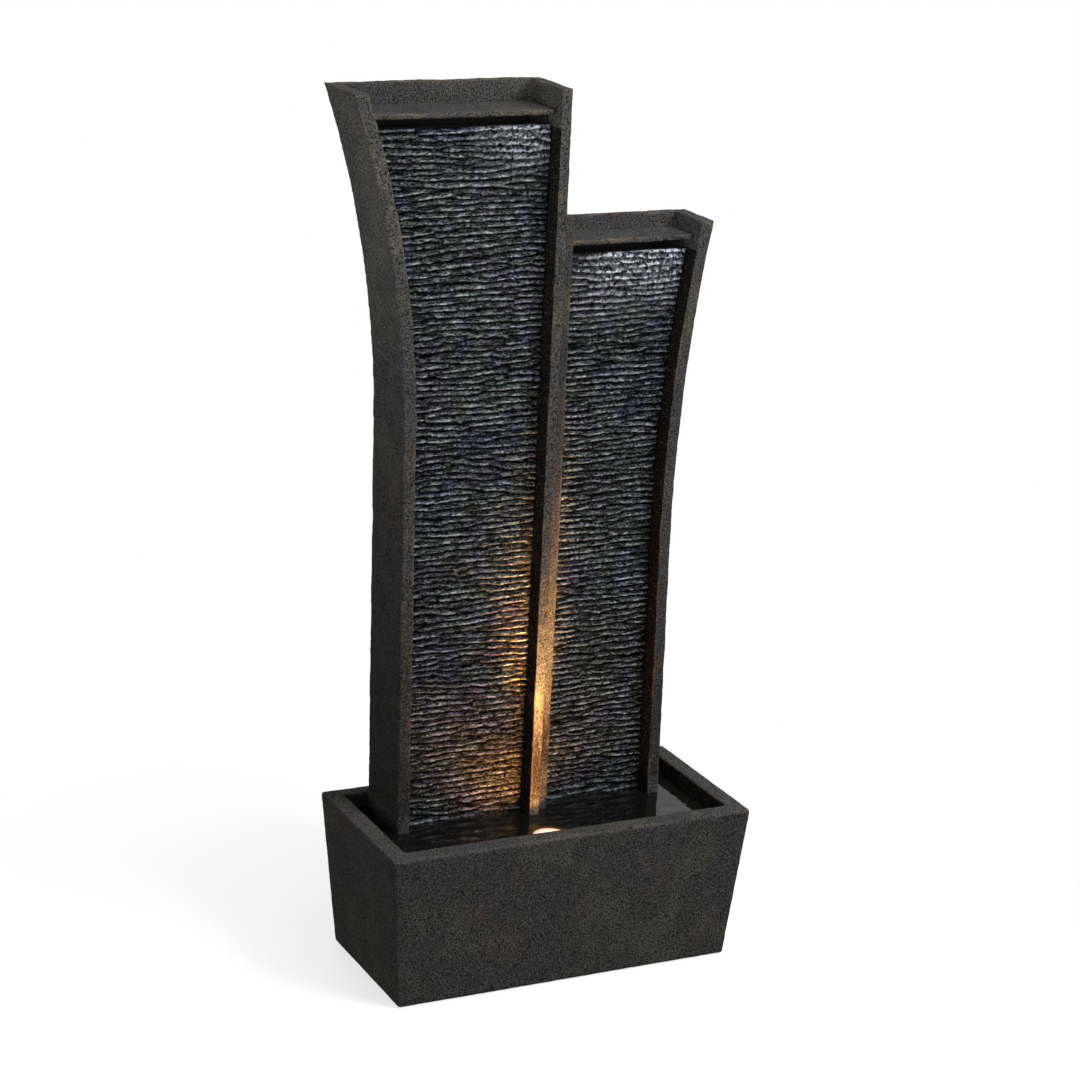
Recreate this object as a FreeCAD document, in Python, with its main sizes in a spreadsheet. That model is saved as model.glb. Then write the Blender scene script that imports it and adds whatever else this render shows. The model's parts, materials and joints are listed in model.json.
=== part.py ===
import FreeCAD, Part
import math
import os
import Sketcher
from FreeCAD import Placement, Rotation, Vector

# Tower fountain: two cast channel towers standing in a tapered basin, each with a rippled water wall,
# a header shelf and a spill trough, fed by one submerged pump and lit by one tilting lamp.
# Millimetres, +X right, +Y back, +Z up, origin at the middle of the basin's underside.

SIZES = {
    # basin
    "basin_top_width": 454,
    "basin_top_depth": 222,
    "basin_base_width": 420,
    "basin_base_depth": 194,
    "basin_height": 188,
    "basin_floor": 14,
    "basin_rim": 24,
    "basin_back_rim": 19,
    "basin_draft": 12,
    "basin_back_draft": 1,
    "basin_corner": 4,
    "basin_edge": 2.5,
    "water_freeboard": 19,
    # fits and run-outs used throughout
    "cut_over": 1,
    "close_fit": 0.1,
    "loose_fit": 0.2,
    # towers
    "tower_span": 347,
    "tower_seam": 0.5,
    "tower_back_gap": 2.5,
    "left_width": 180,
    "left_depth": 90,
    "left_height": 1020,
    "left_lean": 10,
    "left_flare_start": 640,
    "left_flare_radius": 1184,
    "right_depth": 76,
    "right_height": 863,
    "right_lean": -5,
    "right_flare_start": 480,
    "right_flare_radius": 2050,
    "outer_wall": 17,
    "inner_wall": 15,
    "back_wall": 11,
    "seat_rail": 6,
    "tower_edge": 2,
    # water walls
    "face_recess": 22,
    "panel_thickness": 8,
    "panel_clearance": 0.4,
    "panel_foot": 84,
    "ripple_pitch": 7.5,
    "ripple_height": 3,
    "ripple_uneven": 0.2,
    # headers
    "left_shelf_drop": 24,
    "right_shelf_drop": 17,
    "shelf_thickness": 8,
    "lip_setback": 12,
    "slot_height": 11,
    "trough_height": 45,
    "trough_wall": 3,
    # pipework
    "hose_outer": 16,
    "hose_bore": 12,
    "barb_clearance": 0.1,
    "barb_length": 16,
    "barb_wall": 1.8,
    "barb_shoulder": 1,
    "hose_setback": 20.5,
    "tee_rise": 230,
    "fitting_hub": 10,
    "elbow_offset": 46,
    "crossing_clearance": 2,
    # rear hatch
    "hatch_width": 104,
    "hatch_height": 112,
    "hatch_thickness": 5,
    "hatch_border": 12,
    "hatch_clearance": 0.5,
    "hatch_rise": 52,
    "hatch_screw_radius": 2,
    "hatch_screw_head": 3.8,
    "hatch_screw_length": 9,
    "hatch_screw_rise": 2,
    "hatch_screw_tip_gap": 0.5,
    "grommet_rise": 24,
    "grommet_radius": 7,
    "grommet_bore": 3.5,
    "grommet_lip": 1.5,
    # pump
    "pump_x": -66,
    "pump_width": 38,
    "pump_height": 46,
    "motor_depth": 34,
    "pump_bevel": 5,
    "pump_foot": 8,
    "rotor_radius": 8,
    "rotor_length": 22,
    "rotor_gap": 0.6,
    "shaft_radius": 1.5,
    "shaft_gap": 0.05,
    "shaft_socket": 4,
    "chamber_radius": 15,
    "chamber_depth": 13,
    "volute_wall": 3,
    "volute_face": 3,
    "eye_radius": 7.5,
    "eye_hub": 3.5,
    "eye_slot": 4,
    "blade_radius": 13,
    "blade_depth": 8,
    "blade_lift": 2,
    "blade_thickness": 1.6,
    "blade_root": 0.5,
    "intake_depth": 13,
    "intake_wall": 2,
    "intake_slot": 2.4,
    "intake_slot_pitch": 3.6,
    "intake_slot_margin": 1.5,
    "dial_radius": 9,
    "dial_depth": 5,
    "dial_stem": 3,
    "dial_fit": 0.05,
    "dial_lift": 0.3,
    "dial_grip": 4,
    "dial_grip_reach": 7.2,
    "dial_stem_tail": 3,
    "cup_radius": 7,
    "cup_height": 3,
    "cup_neck": 4,
    "cup_inset": 10,
    # lamp
    "led_depth": 8.5,
    "led_radius": 22,
    "led_body_height": 40,
    "led_flat": 2.5,
    "led_pivot_drop": 24,
    "led_lens_thickness": 4,
    "led_lens_inset": 1.5,
    "led_bezel_wall": 3,
    "led_bezel_gap": 0.3,
    "led_bezel_rise": 2,
    "yoke_gap": 0.4,
    "yoke_thickness": 2.5,
    "yoke_width": 14,
    "yoke_clearance": 2,
    "yoke_bevel": 4,
    "pivot_radius": 2.5,
    "pivot_fit": 0.05,
    "pivot_head": 5,
    "pivot_head_height": 3,
    "pivot_boss": 6,
    "pivot_boss_length": 4,
    "pivot_tip_gap": 0.5,
    "stand_front_gap": 4,
    "stand_back_gap": 10.5,
    "stand_base": 9,
    "stand_bevel": 3,
    "stand_post": 8,
}

doc = FreeCAD.newDocument("tower_fountain")
dims = doc.addObject("Spreadsheet::Sheet", "dims")
for row, (alias, size) in enumerate(SIZES.items(), start=1):
    dims.set(f"A{row}", alias)
    dims.set(f"B{row}", str(size))
    dims.setAlias(f"B{row}", alias)
doc.recompute()
derived = doc.addObject("App::VarSet", "derived")


def derive(name, expression):
    """Name a size that follows from the sheet."""
    derived.addProperty("App::PropertyFloat", name, "places")
    derived.setExpression(name, expression)
    doc.recompute()


def value(expression):
    """The present number of an expression."""
    return float(dims.evalExpression(str(expression)))


# Places that several pieces share
derive("back_y", "dims.basin_top_depth / 2 - dims.basin_back_rim - dims.tower_back_gap")
derive("cavity_back_y", "derived.back_y - dims.back_wall")
derive("hose_y", "derived.cavity_back_y - dims.hose_setback")
derive("water_z", "dims.basin_height - dims.water_freeboard")
derive("left_x0", "-dims.tower_span / 2")
derive("left_x1", "derived.left_x0 + dims.left_width")
derive("right_x0", "derived.left_x1 + dims.tower_seam")
derive("right_x1", "dims.tower_span / 2")
derive("panel_low", "dims.basin_floor + dims.panel_foot")
derive("panel_depth", "dims.panel_thickness + dims.ripple_height")
derive("rail_setback", "dims.face_recess + derived.panel_depth")
SIGN = {"left": -1, "right": 1}
for side, sign in SIGN.items():
    outer_x = "derived.left_x0" if side == "left" else "derived.right_x1"
    rise = f"(dims.{side}_flare_start - dims.basin_floor)"
    derive(f"{side}_front_y", f"derived.back_y - dims.{side}_depth")
    derive(f"{side}_slant", f"sqrt({rise} ^ 2 + dims.{side}_lean ^ 2)")
    derive(f"{side}_cos", f"{rise} / derived.{side}_slant")
    derive(f"{side}_sin", f"dims.{side}_lean / derived.{side}_slant")
    derive(f"{side}_bend_x", f"{outer_x} + {sign} * dims.{side}_lean")
    derive(f"{side}_centre_x",
           f"derived.{side}_bend_x + {sign} * dims.{side}_flare_radius * derived.{side}_cos")
    derive(f"{side}_centre_z",
           f"dims.{side}_flare_start - dims.{side}_flare_radius * derived.{side}_sin")
    derive(f"{side}_shelf_top", f"dims.{side}_height - dims.{side}_shelf_drop")
    derive(f"{side}_shelf_low", f"derived.{side}_shelf_top - dims.shelf_thickness")
    derive(f"{side}_weir", f"derived.{side}_shelf_low - dims.slot_height")
    derive(f"{side}_trough_low", f"derived.{side}_shelf_low - dims.trough_height")
    derive(f"{side}_panel_back_y", f"derived.{side}_front_y + derived.rail_setback")
derive("pool_front_y", "-dims.basin_top_depth / 2 + dims.basin_rim + dims.basin_draft")
derive("stand_front_y", "derived.pool_front_y + dims.stand_front_gap")
derive("stand_width", "derived.left_front_y - dims.stand_back_gap - derived.stand_front_y")
derive("led_y", "derived.stand_front_y + derived.stand_width / 2")
derive("hatch_low", "dims.basin_height + dims.hatch_rise")
derive("hatch_x", "(derived.left_x0 + derived.left_x1) / 2")
BARB_OUTER = "(dims.hose_bore / 2 - dims.barb_clearance)"
BARB_BORE = "(dims.hose_bore / 2 - dims.barb_clearance - dims.barb_wall)"
TEE_Z = "(dims.basin_floor + dims.tee_rise)"
ELBOW_X = "(derived.right_x0 + dims.elbow_offset)"
INSIDE_WALLS = ("dims.outer_wall", "dims.inner_wall")
SLIDING_FIT = tuple(f"{wall} + dims.panel_clearance" for wall in INSIDE_WALLS)

# How near two heights must be to count as the same, and the beat of the uneven ripples
NEAR = 0.01
PITCH_BEAT = 1.7
CREST_BEAT = 2.3

# Sides of the small round pieces that repeat out of sight
BARB_SIDES = 12
BOSS_SIDES = 12
KNOB_SIDES = 12
CUP_SIDES = 8
SCREW_SIDES = 8
HEX_SIDES = 6

# How often the pump's blades and the openings of its eye repeat
BLADES = 6
EYE_SLOTS = 4


# Drawing helpers
def new_body(label):
    body = doc.addObject("PartDesign::Body", label)
    body.Label = label
    return body


def place(thing, x="0", y="0", z="0"):
    for axis, expression in zip("xyz", (x, y, z)):
        thing.setExpression(f"Placement.Base.{axis}", expression)


def new_sketch(body, plane, offset="0"):
    """A sketch on one of the body's origin planes, moved along that plane's normal."""
    sketch = body.newObject("Sketcher::SketchObject", f"{body.Name}_sketch")
    support = [item for item in body.Origin.OriginFeatures if item.Role == plane][0]
    sketch.AttachmentSupport = [(support, "")]
    sketch.MapMode = "FlatFace"
    sketch.setExpression("AttachmentOffset.Base.z", offset)
    return sketch


def fix(sketch, kind, where, expression):
    index = sketch.addConstraint(Sketcher.Constraint(kind, *where, value(expression)))
    sketch.setExpression(f"Constraints[{index}]", expression)


def outline(sketch, corners, arcs=None):
    """A closed profile through corners, each a pair of expressions.

    arcs gives the sides that are round: side number to (radius, centre across, centre up).
    """
    arcs = arcs or {}
    spots = [Vector(value(across), value(up), 0) for across, up in corners]
    sides = []
    for number, here in enumerate(spots):
        there = spots[(number + 1) % len(spots)]
        if number in arcs:
            radius, across, up = arcs[number]
            centre = Vector(value(across), value(up), 0)
            begin, end = [math.atan2(spot.y - centre.y, spot.x - centre.x) for spot in (here, there)]
            turns_left = (end - begin) % (2 * math.pi) < math.pi
            low, high = (begin, end) if turns_left else (end, begin)
            circle = Part.Circle(centre, Vector(0, 0, 1), value(radius))
            index = sketch.addGeometry(Part.ArcOfCircle(circle, low, high))
            sides.append((index, 1, 2) if turns_left else (index, 2, 1))
            fix(sketch, "Radius", (index,), radius)
        else:
            sides.append((sketch.addGeometry(Part.LineSegment(here, there)), 1, 2))
    for number, (index, start, _) in enumerate(sides):
        before, _, end = sides[number - 1]
        sketch.addConstraint(Sketcher.Constraint("Coincident", before, end, index, start))
        across, up = corners[number]
        fix(sketch, "DistanceX", (-1, 1, index, start), across)
        fix(sketch, "DistanceY", (-1, 1, index, start), up)


def box_outline(sketch, low_across, low_up, high_across, high_up):
    outline(sketch, [(low_across, low_up), (high_across, low_up),
                     (high_across, high_up), (low_across, high_up)])


def ring(sketch, radius, across="0", up="0"):
    spot = Vector(value(across), value(up), 0)
    index = sketch.addGeometry(Part.Circle(spot, Vector(0, 0, 1), value(radius)))
    fix(sketch, "Radius", (index,), radius)
    fix(sketch, "DistanceX", (-1, 1, index, 3), across)
    fix(sketch, "DistanceY", (-1, 1, index, 3), up)


def polygon(sketch, radius, sides, across="0", up="0"):
    """A regular polygon with its corners at radius."""
    corners = []
    for corner in range(sides):
        angle = 2 * math.pi * corner / sides
        corners.append((f"{across} + ({radius}) * {math.cos(angle):.6f}",
                        f"{up} + ({radius}) * {math.sin(angle):.6f}"))
    outline(sketch, corners)


def extrude(kind, body, sketch, length, reverse=False):
    feature = body.newObject(f"PartDesign::{kind}", f"{body.Name}_{kind.lower()}")
    feature.Profile = sketch
    feature.setExpression("Length", length)
    feature.Reversed = reverse
    doc.recompute()
    return feature


def pad(body, sketch, length, reverse=False):
    return extrude("Pad", body, sketch, length, reverse)


def pocket(body, sketch, length, reverse=False):
    """Cut a pocket and make sure that it removed something."""
    before = body.Shape.Volume
    feature = extrude("Pocket", body, sketch, length, reverse)
    if body.Shape.Volume >= before:
        raise RuntimeError(f"{feature.Name} cut nothing")
    return feature


def revolve(body, plane, corners):
    """Turn a profile about the sketch's upright axis."""
    sketch = new_sketch(body, plane)
    outline(sketch, corners)
    feature = body.newObject("PartDesign::Revolution", f"{body.Name}_turned")
    feature.Profile = sketch
    feature.ReferenceAxis = (sketch, ["V_Axis"])
    feature.Angle = 360
    doc.recompute()


def around(body, feature, count):
    """Repeat a feature evenly round the body's X axis."""
    pattern = body.newObject("PartDesign::PolarPattern", f"{body.Name}_pattern")
    pattern.Originals = [feature]
    line = [item for item in body.Origin.OriginFeatures if item.Role == "X_Axis"][0]
    pattern.Axis = (line, [""])
    pattern.Angle = 360
    pattern.Occurrences = count
    body.Tip = pattern
    doc.recompute()


def dress_edges(body, kind, size, chosen):
    """Fillet or chamfer the edges of the body's shape that chosen(edge) accepts."""
    base = body.Tip
    names = [f"Edge{number}" for number, edge in enumerate(base.Shape.Edges, start=1) if chosen(edge)]
    feature = body.newObject(f"PartDesign::{kind}", f"{body.Name}_{kind.lower()}")
    feature.Base = (base, names)
    feature.setExpression("Radius" if kind == "Fillet" else "Size", size)
    body.Tip = feature
    doc.recompute()


def tube(label, outer, bore, length, x, y, z, axis="Z"):
    """A straight hose or sleeve along Z or X, from its start."""
    body = new_body(label)
    sketch = new_sketch(body, "XY_Plane" if axis == "Z" else "YZ_Plane")
    ring(sketch, outer)
    ring(sketch, bore)
    pad(body, sketch, length)
    place(body, x, y, z)
    return body


def group(label, pieces):
    """Several separate solids in one node."""
    node = doc.addObject("Part::Compound", label)
    node.Label = label
    node.Links = pieces
    return node


# Outlines of the towers, seen from the front
def edge_x(side, z, inset):
    """The curved wall's face at height z above the bend, moved inwards by inset."""
    sign = SIGN[side]
    reach = f"sqrt((dims.{side}_flare_radius + {inset}) ^ 2 - ({z} - derived.{side}_centre_z) ^ 2)"
    return f"derived.{side}_centre_x - {sign} * {reach}"


def tower_outline(sketch, side, curved_inset, straight_inset, low, high):
    """The tower's front outline between two heights, with both walls moved inwards."""
    sign = SIGN[side]
    radius = f"dims.{side}_flare_radius + {curved_inset}"
    bend_z = f"dims.{side}_flare_start + {curved_inset} * derived.{side}_sin"
    bend_x = f"derived.{side}_bend_x - {sign} * ({curved_inset}) * derived.{side}_cos"
    seam_x = "derived.left_x1" if side == "left" else "derived.right_x0"
    inner_x = f"{seam_x} + {sign} * ({straight_inset})"
    arc = (radius, f"derived.{side}_centre_x", f"derived.{side}_centre_z")
    corners = [(inner_x, high), (inner_x, low)]
    if value(low) < value(bend_z):
        lean = f"derived.{side}_sin / derived.{side}_cos"
        corners.append((f"{bend_x} - {sign} * ({bend_z} - {low}) * {lean}", low))
        corners.append((bend_x, bend_z))
    else:
        corners.append((edge_x(side, low, curved_inset), low))
    corners.append((edge_x(side, high, curved_inset), high))
    outline(sketch, corners, {len(corners) - 2: arc})


def basin():
    body = new_body("basin")
    upright = Placement(Vector(0, 0, 0), Rotation(Vector(1, 0, 0), 90))
    outer = body.newObject("PartDesign::AdditiveWedge", "basin_outside")
    outer.Placement = upright
    bounds = {"Ymin": "0", "Ymax": "dims.basin_height"}
    for name, size in (("X", "width"), ("Z", "depth")):
        for end, low in (("", "base"), ("2", "top")):
            bounds[f"{name}{end}min"] = f"-dims.basin_{low}_{size} / 2"
            bounds[f"{name}{end}max"] = f"dims.basin_{low}_{size} / 2"
    for name, expression in bounds.items():
        outer.setExpression(name, expression)
    doc.recompute()
    dress_edges(body, "Fillet", "dims.basin_corner", lambda edge: True)
    cavity = body.newObject("PartDesign::SubtractiveWedge", "basin_inside")
    cavity.Placement = upright
    side_top = "dims.basin_top_width / 2 - dims.basin_rim"
    front_top = "dims.basin_top_depth / 2 - dims.basin_rim"
    back_top = "dims.basin_top_depth / 2 - dims.basin_back_rim"
    bounds = {
        "Ymin": "dims.basin_floor", "Ymax": "dims.basin_height",
        "X2min": f"-({side_top})", "X2max": side_top, "Z2min": f"-({back_top})", "Z2max": front_top,
        "Xmin": f"-({side_top} - dims.basin_draft)", "Xmax": f"{side_top} - dims.basin_draft",
        "Zmin": f"-({back_top} - dims.basin_back_draft)", "Zmax": f"{front_top} - dims.basin_draft",
    }
    for name, expression in bounds.items():
        cavity.setExpression(name, expression)
    doc.recompute()
    height = value("dims.basin_height")
    inside = value(side_top) + NEAR

    def on_inner_rim(edge):
        box = edge.BoundBox
        return box.ZMin > height - NEAR and max(-box.XMin, box.XMax) < inside

    dress_edges(body, "Fillet", "dims.basin_edge", on_inner_rim)
    return body


def tower(side):
    """A cast channel: side walls, back wall, and rails that seat the water wall and the trough."""
    body = new_body(f"{side}_tower")
    front = f"-derived.{side}_front_y"
    sketch = new_sketch(body, "XZ_Plane", "-derived.back_y")
    tower_outline(sketch, side, "0", "0", "dims.basin_floor", f"dims.{side}_height")
    pad(body, sketch, f"dims.{side}_depth")
    front_y = value(f"derived.{side}_front_y")
    tall = value(f"dims.{side}_height") / 4

    def upright_on_front(edge):
        return edge.BoundBox.YMax < front_y + NEAR and edge.BoundBox.ZLength > tall

    dress_edges(body, "Chamfer", "dims.tower_edge", upright_on_front)
    narrow = [f"{wall} + dims.seat_rail" for wall in INSIDE_WALLS]
    full_depth = f"dims.{side}_depth - dims.back_wall"
    trough_low = f"derived.{side}_trough_low"
    for insets, low, high, depth in (
        (narrow, "dims.basin_floor", trough_low, full_depth),
        (INSIDE_WALLS, "derived.panel_low", trough_low, "derived.rail_setback"),
        (INSIDE_WALLS, trough_low, f"dims.{side}_height", full_depth),
    ):
        sketch = new_sketch(body, "XZ_Plane", front)
        tower_outline(sketch, side, *insets, low, high)
        pocket(body, sketch, depth)
    wall_x = "derived.left_x1" if side == "left" else "derived.right_x0"
    sketch = new_sketch(body, "YZ_Plane", wall_x)
    ring(sketch, "dims.hose_outer / 2 + dims.crossing_clearance", "derived.hose_y", TEE_Z)
    pocket(body, sketch, "dims.inner_wall + dims.seat_rail + dims.cut_over", side == "right")
    return body


def rear_openings(body):
    """The rebated service opening, its screw holes and the cord hole in the back wall."""
    half = "dims.hatch_width / 2"
    through = "dims.back_wall + dims.cut_over"
    for inset, depth in (("0", "dims.hatch_thickness"), ("dims.hatch_border", through)):
        sketch = new_sketch(body, "XZ_Plane", "-derived.back_y")
        box_outline(sketch, f"derived.hatch_x - {half} + {inset}", f"derived.hatch_low + {inset}",
                    f"derived.hatch_x + {half} - {inset}", f"derived.hatch_low + dims.hatch_height - {inset}")
        pocket(body, sketch, depth, True)
    sketch = new_sketch(body, "XZ_Plane", "-derived.back_y")
    for across, up in hatch_screw_spots():
        polygon(sketch, "dims.hatch_screw_radius + dims.close_fit", SCREW_SIDES, across, up)
    pocket(body, sketch, "dims.hatch_screw_length + dims.hatch_screw_tip_gap", True)
    sketch = new_sketch(body, "XZ_Plane", "-derived.back_y")
    ring(sketch, "dims.grommet_radius", "derived.hatch_x", "dims.basin_height + dims.grommet_rise")
    pocket(body, sketch, through, True)


def hatch_screw_spots():
    low = "derived.hatch_low + dims.hatch_border / 2"
    return [("derived.hatch_x", low), ("derived.hatch_x", f"{low} + dims.hatch_height - dims.hatch_border")]


def ripple_panel(side):
    """The water wall: ridges run across a slab whose outline follows the tower's inside."""
    slab = new_body(f"{side}_panel_slab")
    sketch = new_sketch(slab, "XZ_Plane", f"-derived.{side}_panel_back_y")
    tower_outline(sketch, side, *SLIDING_FIT, "derived.panel_low", f"derived.{side}_weir")
    pad(slab, sketch, "derived.panel_depth")
    ridges = doc.addObject("Part::Feature", f"{side}_ridges")
    ridges.Shape = ridge_block(side, slab.Shape.BoundBox)
    panel = doc.addObject("Part::Common", f"{side}_ripple_panel")
    panel.Label = f"{side}_ripple_panel"
    panel.Base = ridges
    panel.Tool = slab
    doc.recompute()
    return panel


def ridge_block(side, bounds):
    """A block with a rippled front: uneven chiselled ridges along the whole width."""
    low, high = value("derived.panel_low"), value(f"derived.{side}_weir")
    back = value(f"derived.{side}_panel_back_y")
    valley = back - value("dims.panel_thickness")
    pitch, height = value("dims.ripple_pitch"), value("dims.ripple_height")
    uneven, over = value("dims.ripple_uneven"), value("dims.cut_over")
    count = round((high - low) / pitch)
    weights = [1 + uneven * math.sin(PITCH_BEAT * ridge) for ridge in range(count)]
    step = (high - low) / sum(weights)
    x = bounds.XMin - over
    points = [Vector(x, back, low)]
    z = low
    for ridge, weight in enumerate(weights):
        crest = valley - height * (1 - uneven + uneven * math.sin(CREST_BEAT * ridge + 1))
        width = step * weight
        points += [Vector(x, valley, z), Vector(x, crest, z + width / 2)]
        z += width
    points += [Vector(x, valley, high), Vector(x, back, high), points[0]]
    return Part.Face(Part.makePolygon(points)).extrude(Vector(bounds.XLength + 2 * over, 0, 0))


def header_shelf(side):
    """The ledge across the tower's top, with the lip that hangs over the slot."""
    body = new_body(f"{side}_header_shelf")
    sketch = new_sketch(body, "XZ_Plane", "-derived.cavity_back_y + dims.panel_clearance")
    tower_outline(sketch, side, *SLIDING_FIT, f"derived.{side}_shelf_low", f"derived.{side}_shelf_top")
    pad(body, sketch, f"dims.{side}_depth - dims.back_wall - dims.panel_clearance - dims.lip_setback")
    return body


def spill_trough(side):
    """The header trough: high back and ends that carry the shelf, a low weir in front, a barb below."""
    body = new_body(f"{side}_spill_trough")
    length = f"derived.cavity_back_y - derived.{side}_panel_back_y - 2 * dims.panel_clearance"
    low, high = f"derived.{side}_trough_low", f"derived.{side}_shelf_low"
    sketch = new_sketch(body, "XZ_Plane", "-derived.cavity_back_y + dims.panel_clearance")
    tower_outline(sketch, side, *SLIDING_FIT, low, high)
    pad(body, sketch, length)
    front = f"-derived.{side}_panel_back_y - dims.panel_clearance"
    inside = [f"{inset} + dims.trough_wall" for inset in SLIDING_FIT]
    sketch = new_sketch(body, "XZ_Plane", f"{front} - dims.trough_wall")
    tower_outline(sketch, side, *inside, f"{low} + dims.trough_wall", high)
    pocket(body, sketch, f"{length} - 2 * dims.trough_wall")
    sketch = new_sketch(body, "XZ_Plane", front)
    tower_outline(sketch, side, *inside, f"derived.{side}_weir", high)
    pocket(body, sketch, "dims.trough_wall + dims.cut_over")
    inlet = (riser_x(side), "derived.hose_y")
    sketch = new_sketch(body, "XY_Plane", low)
    polygon(sketch, BARB_OUTER, BARB_SIDES, *inlet)
    pad(body, sketch, "dims.barb_length", True)
    sketch = new_sketch(body, "XY_Plane", f"{low} + dims.trough_wall")
    polygon(sketch, BARB_BORE, BARB_SIDES, *inlet)
    pocket(body, sketch, "dims.barb_length + dims.trough_wall")
    return body


def riser_x(side):
    return "dims.pump_x" if side == "left" else ELBOW_X


def branch_fitting(label, x, runs):
    """A hose fitting: many-sided arms out from a square hub, all bored through to its middle."""
    body = new_body(label)
    planes = {"x": "YZ_Plane", "z": "XY_Plane"}
    hub = "dims.fitting_hub"
    sketch = new_sketch(body, "XY_Plane", f"-{hub}")
    box_outline(sketch, f"-{hub}", f"-{hub}", hub, hub)
    pad(body, sketch, f"2 * {hub}")
    for axis, direction in runs:
        sketch = new_sketch(body, planes[axis])
        polygon(sketch, BARB_OUTER, BARB_SIDES)
        pad(body, sketch, f"{hub} + dims.barb_length", direction < 0)
    for axis, direction in runs:
        sketch = new_sketch(body, planes[axis])
        polygon(sketch, BARB_BORE, BARB_SIDES)
        pocket(body, sketch, f"{hub} + dims.barb_length + dims.cut_over", direction > 0)
    place(body, x, "derived.hose_y", TEE_Z)
    return body


def pipework():
    """One hose from the pump to the tee, risers to both troughs, and a crossover between the towers."""
    outer, bore = "dims.hose_outer / 2", "dims.hose_bore / 2"
    spigot = "(dims.basin_floor + dims.pump_foot + dims.pump_height + dims.barb_shoulder)"
    branch = f"{TEE_Z} + dims.fitting_hub"
    runs = {
        "pump_hose": ("dims.pump_x", spigot, f"{TEE_Z} - dims.fitting_hub - {spigot}"),
        "left_riser_hose": ("dims.pump_x", branch, f"derived.left_trough_low - ({branch})"),
        "right_riser_hose": (ELBOW_X, branch, f"derived.right_trough_low - ({branch})"),
    }
    nodes = []
    for label, (x, z, length) in runs.items():
        nodes.append(tube(label, outer, bore, length, x, "derived.hose_y", z))
    nodes.append(tube("crossover_hose", outer, bore, f"{ELBOW_X} - dims.pump_x - 2 * dims.fitting_hub",
                      "dims.pump_x + dims.fitting_hub", "derived.hose_y", TEE_Z, "X"))
    nodes.append(branch_fitting("tee_fitting", "dims.pump_x", (("z", -1), ("z", 1), ("x", 1))))
    nodes.append(branch_fitting("elbow_fitting", ELBOW_X, (("x", -1), ("z", 1))))
    return nodes


def rear_hatch():
    body = new_body("rear_hatch")
    half = "dims.hatch_width / 2 - dims.hatch_clearance"
    sketch = new_sketch(body, "XZ_Plane", "-derived.back_y")
    box_outline(sketch, f"derived.hatch_x - ({half})", "derived.hatch_low + dims.hatch_clearance",
                f"derived.hatch_x + {half}", "derived.hatch_low + dims.hatch_height - dims.hatch_clearance")
    pad(body, sketch, "dims.hatch_thickness")
    sketch = new_sketch(body, "XZ_Plane", "-derived.back_y")
    for across, up in hatch_screw_spots():
        polygon(sketch, "dims.hatch_screw_radius + dims.loose_fit", SCREW_SIDES, across, up)
    pocket(body, sketch, "dims.hatch_thickness + dims.cut_over", True)
    screws = []
    for number, (x, z) in enumerate(hatch_screw_spots()):
        screw = new_body(f"hatch_screw_{number}")
        sketch = new_sketch(screw, "XZ_Plane")
        polygon(sketch, "dims.hatch_screw_head", SCREW_SIDES)
        pad(screw, sketch, "dims.hatch_screw_rise", True)
        sketch = new_sketch(screw, "XZ_Plane")
        polygon(sketch, "dims.hatch_screw_radius", SCREW_SIDES)
        pad(screw, sketch, "dims.hatch_screw_length")
        place(screw, x, "derived.back_y", z)
        screws.append(screw)
    return [body, group("hatch_screws", screws)]


def cord_grommet():
    """A rubber bush in the back wall's cord hole, a little longer than the wall is thick."""
    body = new_body("cord_grommet")
    outside = "dims.grommet_radius - dims.close_fit"
    near, far = "dims.grommet_lip", "-dims.back_wall - dims.grommet_lip"
    revolve(body, "XY_Plane", [
        ("dims.grommet_bore", near), (outside, near), (outside, far), ("dims.grommet_bore", far),
    ])
    place(body, "derived.hatch_x", "derived.back_y", "dims.basin_height + dims.grommet_rise")
    return body


# The pump's own frame: origin on the impeller's axis at the motor's open face, +X towards the intake
VOLUTE_END = "(dims.chamber_depth + dims.volute_face)"
INTAKE_END = "(dims.chamber_depth + dims.volute_face + dims.intake_depth)"
SHAFT_BORE = "(dims.shaft_radius + dims.shaft_gap)"
WELL_DEPTH = "(dims.rotor_length + dims.rotor_gap)"


def pump_body(label):
    body = new_body(label)
    place(body, "dims.pump_x - dims.chamber_depth / 2", "derived.hose_y",
          "dims.basin_floor + dims.pump_foot + dims.pump_height / 2")
    return body


def bevelled_block(body, offset, shrink="0"):
    """The pump's cross-section, a rectangle with bevelled corners."""
    half_y = f"(dims.pump_width / 2 - {shrink})"
    half_z = f"(dims.pump_height / 2 - {shrink})"
    bevel = f"(dims.pump_bevel - {shrink})"
    corners = []
    for sy, sz in ((1, -1), (1, 1), (-1, 1), (-1, -1)):
        on_end = (f"{sy} * ({half_y} - {bevel})", f"{sz} * {half_z}")
        on_side = (f"{sy} * {half_y}", f"{sz} * ({half_z} - {bevel})")
        corners += [on_end, on_side] if sy != sz else [on_side, on_end]
    sketch = new_sketch(body, "YZ_Plane", offset)
    outline(sketch, corners)
    return sketch


def disc(body, offset, radius, bore=None):
    sketch = new_sketch(body, "YZ_Plane", offset)
    ring(sketch, radius)
    if bore:
        ring(sketch, bore)
    return sketch


def motor_housing():
    """The potted motor block, with the rotor's well and the shaft's socket."""
    body = pump_body("pump_motor_housing")
    pad(body, bevelled_block(body, "-dims.motor_depth"), "dims.motor_depth")
    pocket(body, disc(body, "0", "dims.rotor_radius + dims.rotor_gap"), WELL_DEPTH)
    pocket(body, disc(body, "0", SHAFT_BORE), f"{WELL_DEPTH} + dims.shaft_socket")
    return body


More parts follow.
